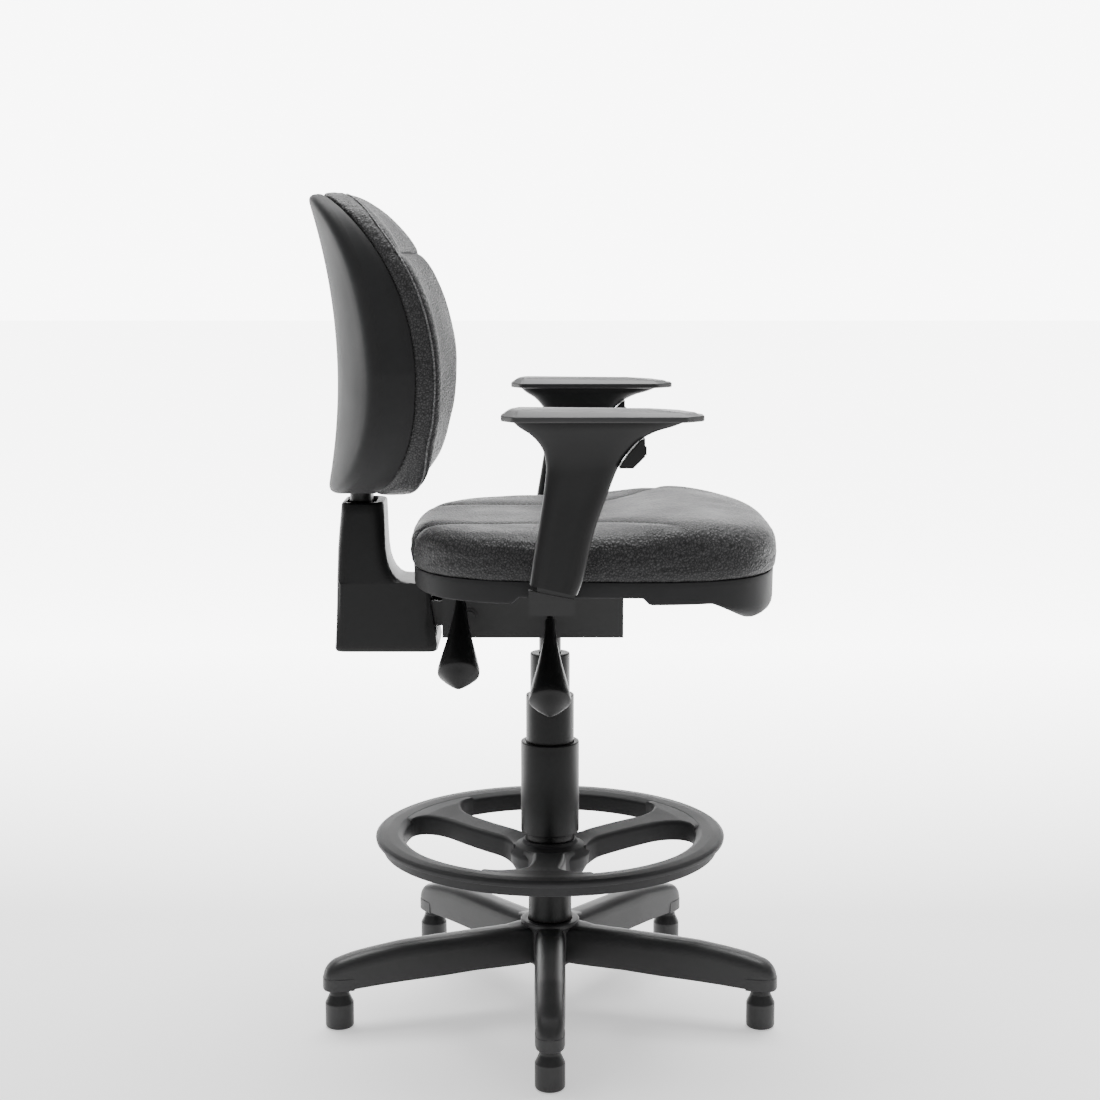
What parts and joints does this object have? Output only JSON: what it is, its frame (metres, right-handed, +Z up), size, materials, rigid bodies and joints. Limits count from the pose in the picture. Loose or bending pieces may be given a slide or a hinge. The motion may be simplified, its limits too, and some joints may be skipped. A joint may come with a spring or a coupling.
{
  "type": "drafting chair",
  "caption": "Tall drafting chair with adjustable armrests, a footring, telescopic column covers and a five-arm base on fixed glides; seat and back in padded leather.",
  "frame": {"origin": "on the floor, on the axis of the column that the seat turns on", "axes": "+Z up; +X to the front of the seat; +Y to the sitter's left"},
  "size_m": [0.5846, 0.672, 1.042],
  "materials": {
    "base_plastic": "satin",
    "ring_plastic": "satin",
    "cover_plastic": "satin",
    "shell_plastic": "satin",
    "pad_plastic": "matte",
    "glide_plastic": "satin",
    "bush_plastic": "matte",
    "leather": "satin",
    "board": "matte",
    "steel": "satin",
    "black_steel": "satin"
  },
  "bodies": {
    "base": {"base_star": "base_plastic", "hub_ring": "steel", "glide_1": "glide_plastic", "glide_2": "glide_plastic", "glide_3": "glide_plastic", "glide_4": "glide_plastic", "glide_5": "glide_plastic", "glide_stems": "steel", "outer_tube": "black_steel", "guide_bush": "bush_plastic", "column_sleeve": "cover_plastic", "cover_stop": "cover_plastic", "cover_lower": "cover_plastic", "thrust_bearing": "steel"},
    "spindle": {"piston_rod": "steel", "piston": "steel", "bearing_washer": "steel", "retaining_clip": "steel"},
    "seat_frame": {"gas_cylinder": "black_steel", "rod_gland": "steel", "valve_body": "steel", "cover_top": "cover_plastic", "mech_housing": "black_steel", "mech_plate": "black_steel", "taper_socket": "black_steel", "lever_brackets": "black_steel", "lever_pins": "steel", "tilt_shaft": "black_steel", "shaft_clips": "black_steel", "return_spring": "steel", "seat_shell": "shell_plastic", "seat_board": "board", "seat_cushion": "leather", "seat_screws": "steel", "arm_brackets": "black_steel"},
    "cover_mid": {"cover_mid": "cover_plastic"},
    "release_pin": {"release_pin": "steel"},
    "footring": {"footring": "ring_plastic"},
    "ring_knob": {"ring_knob": "cover_plastic", "ring_screw": "steel"},
    "gas_lever": {"gas_lever_rod": "black_steel", "gas_lever_handle": "cover_plastic"},
    "lock_lever": {"lock_lever_rod": "black_steel", "lock_lever_handle": "cover_plastic"},
    "back_carrier": {"carrier_bar": "black_steel", "carrier_cover_right": "cover_plastic", "carrier_cover_left": "cover_plastic"},
    "backrest": {"back_guide": "black_steel", "back_screws": "steel", "back_shell": "shell_plastic", "back_board": "board", "back_cushion": "leather"},
    "arm_right": {"arm_sleeve_right": "cover_plastic", "arm_lock_right": "cover_plastic", "arm_pad_right": "pad_plastic"},
    "arm_left": {"arm_sleeve_left": "cover_plastic", "arm_lock_left": "cover_plastic", "arm_pad_left": "pad_plastic"},
    "arm_button_right": {"arm_button_right": "cover_plastic"},
    "arm_button_left": {"arm_button_left": "cover_plastic"}
  },
  "joints": [
    {"name": "swivel", "type": "hinge", "parent": "base", "child": "spindle", "pos_m": [0, 0, 0.06], "axis": [0, 0, 1], "continuous": true},
    {"name": "gas_lift", "type": "slide", "parent": "spindle", "child": "seat_frame", "axis": [0, 0, 1], "range_m": [-0.12, 0.08]},
    {"name": "cover_mid_slide", "type": "slide", "parent": "base", "child": "cover_mid", "axis": [0, 0, 1], "range_m": [-0.06, 0.04]},
    {"name": "gas_lever_lift", "type": "hinge", "parent": "seat_frame", "child": "gas_lever", "pos_m": [0, -0.03, 0.556], "axis": [-1, 0, 0], "range_deg": [0, 8], "stiffness_Nm_per_rad": 2, "springref_deg": -8.59},
    {"name": "release_pin_slide", "type": "slide", "parent": "seat_frame", "child": "release_pin", "axis": [0, 0, -1], "range_m": [0, 0.0042]},
    {"name": "lock_lever_lift", "type": "hinge", "parent": "seat_frame", "child": "lock_lever", "pos_m": [-0.11, -0.03, 0.56], "axis": [-1, 0, 0], "range_deg": [0, 8]},
    {"name": "back_tilt", "type": "hinge", "parent": "seat_frame", "child": "back_carrier", "pos_m": [-0.1, 0, 0.52], "axis": [0, -1, 0], "range_deg": [-3, 14]},
    {"name": "back_height", "type": "slide", "parent": "back_carrier", "child": "backrest", "axis": [0, 0, 1], "range_m": [0, 0.07]},
    {"name": "arm_right_height", "type": "slide", "parent": "seat_frame", "child": "arm_right", "axis": [0.1564, 0, 0.9877], "range_m": [0, 0.07]},
    {"name": "arm_left_height", "type": "slide", "parent": "seat_frame", "child": "arm_left", "axis": [0.1564, 0, 0.9877], "range_m": [0, 0.07]},
    {"name": "arm_button_right_press", "type": "slide", "parent": "arm_right", "child": "arm_button_right", "axis": [-1, 0, 0], "range_m": [0, 0.003], "stiffness_N_per_m": 400, "springref_m": -0.002},
    {"name": "arm_button_left_press", "type": "slide", "parent": "arm_left", "child": "arm_button_left", "axis": [-1, 0, 0], "range_m": [0, 0.003], "stiffness_N_per_m": 400, "springref_m": -0.002},
    {"name": "footring_slide", "type": "slide", "parent": "base", "child": "footring", "axis": [0, 0, 1], "range_m": [-0.05, 0]},
    {"name": "ring_knob_turn", "type": "hinge", "parent": "footring", "child": "ring_knob", "pos_m": [0, 0, 0.192], "axis": [0.0872, 0.9962, 0], "continuous": true}
  ],
  "couplings": [
    {"joint": "cover_mid_slide", "follows": "gas_lift", "ratio": 0.5},
    {"joint": "release_pin_slide", "follows": "gas_lever_lift", "m_per_rad": 0.03}
  ]
}
